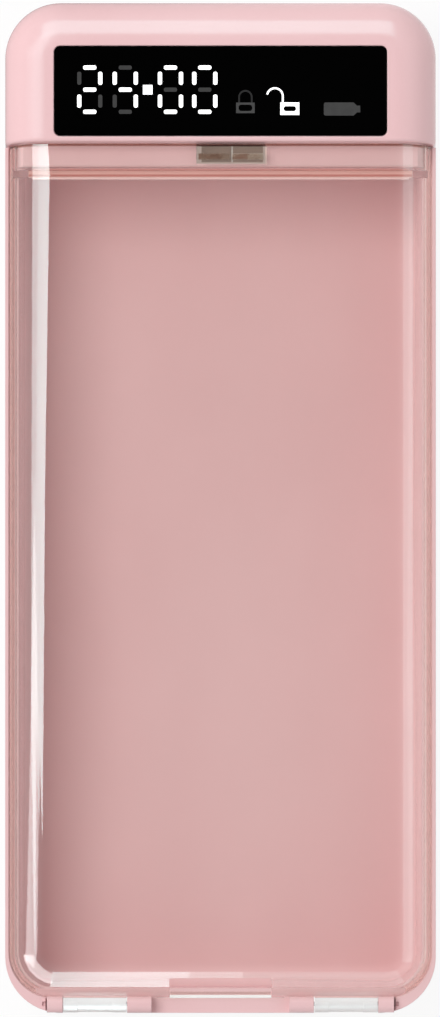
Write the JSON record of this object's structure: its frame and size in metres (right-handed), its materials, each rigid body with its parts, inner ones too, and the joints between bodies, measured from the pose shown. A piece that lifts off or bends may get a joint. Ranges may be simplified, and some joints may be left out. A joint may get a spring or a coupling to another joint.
{
  "type": "timed lock container",
  "caption": "Flat lying phone box with a hinged clear lid, a display head and a motor-driven bolt that holds the lid's hooks until a timer ends.",
  "frame": {"origin": "middle of the flat back face that the object lies on", "axes": "+X to the right across the body, +Y from the hinged foot end to the head with the display, +Z out of the front"},
  "size_m": [0.0954, 0.224, 0.034],
  "materials": {
    "shell_pink": "glossy moulded plastic, pale pink",
    "button_pink": "glossy moulded plastic, pale pink",
    "lid_clear": "clear polished plastic",
    "steel": "bright steel",
    "window_black": "glossy black panel",
    "marks_lit": "lit white",
    "marks_unlit": "unlit grey",
    "foam_black": "black adhesive foam",
    "module_white": "white light box",
    "board_green": "green solder mask",
    "parts_black": "black moulded electronic part",
    "works_white": "white low-friction plastic",
    "works_grey": "grey moulded plastic",
    "brass": "plain brass",
    "cell_foil": "laminated foil",
    "lead_insulation": "soft lead insulation"
  },
  "bodies": {
    "base": {"base_shell": "shell_pink", "battery_cell": "cell_foil", "battery_connector": "works_white", "battery_icon": "marks_unlit", "battery_leads": "lead_insulation", "battery_pad": "foam_black", "board_screws": "steel", "button_board": "board_green", "buzzer": "parts_black", "charging_socket": "steel", "control_board": "board_green", "controller_chips": "parts_black", "cover_screws": "steel", "digit_segments_lit": "marks_lit", "digit_segments_unlit": "marks_unlit", "display_module": "module_white", "display_window": "window_black", "frame_screws": "steel", "gearbox": "brass", "gearbox_screws": "steel", "head_cover": "shell_pink", "hinge_pin_left": "steel", "hinge_pin_right": "steel", "latch_frame": "works_grey", "limit_switch": "parts_black", "link_header": "parts_black", "lock_icon": "marks_unlit", "motor_can": "steel", "motor_leads": "lead_insulation", "motor_terminals": "brass", "socket_tongue": "parts_black", "tact_switches": "parts_black", "unlock_icon": "marks_lit", "window_tape": "foam_black"},
    "lid": {"lid": "lid_clear", "lid_hooks": "lid_clear"},
    "bolt": {"lock_bolt": "works_white"},
    "pinion": {"drive_pinion": "brass", "motor_shaft": "steel"},
    "button_hour": {"hour_button": "button_pink", "hour_plunger": "works_white"},
    "button_minute": {"minute_button": "button_pink", "minute_plunger": "works_white"},
    "button_lock": {"lock_button": "button_pink", "lock_plunger": "works_white"}
  },
  "joints": [
    {"name": "lid_hinge", "type": "hinge", "parent": "base", "child": "lid", "pos_m": [0, -0.11, 0.026], "axis": [1, 0, 0], "range_deg": [0, 135]},
    {"name": "bolt_slide", "type": "slide", "parent": "base", "child": "bolt", "axis": [0, -1, 0], "range_m": [0, 0.0024]},
    {"name": "pinion_spin", "type": "hinge", "parent": "base", "child": "pinion", "pos_m": [0.0061, 0.0924, 0.01905], "axis": [1, 0, 0], "range_deg": [0, 38.3]},
    {"name": "hour_press", "type": "slide", "parent": "base", "child": "button_hour", "axis": [0, -1, 0], "range_m": [0, 0.0005], "stiffness_N_per_m": 2000},
    {"name": "minute_press", "type": "slide", "parent": "base", "child": "button_minute", "axis": [0, -1, 0], "range_m": [0, 0.0005], "stiffness_N_per_m": 2000},
    {"name": "lock_press", "type": "slide", "parent": "base", "child": "button_lock", "axis": [0, -1, 0], "range_m": [0, 0.0005], "stiffness_N_per_m": 2000}
  ],
  "couplings": [
    {"joint": "pinion_spin", "follows": "bolt_slide", "rad_per_m": 277.78}
  ]
}
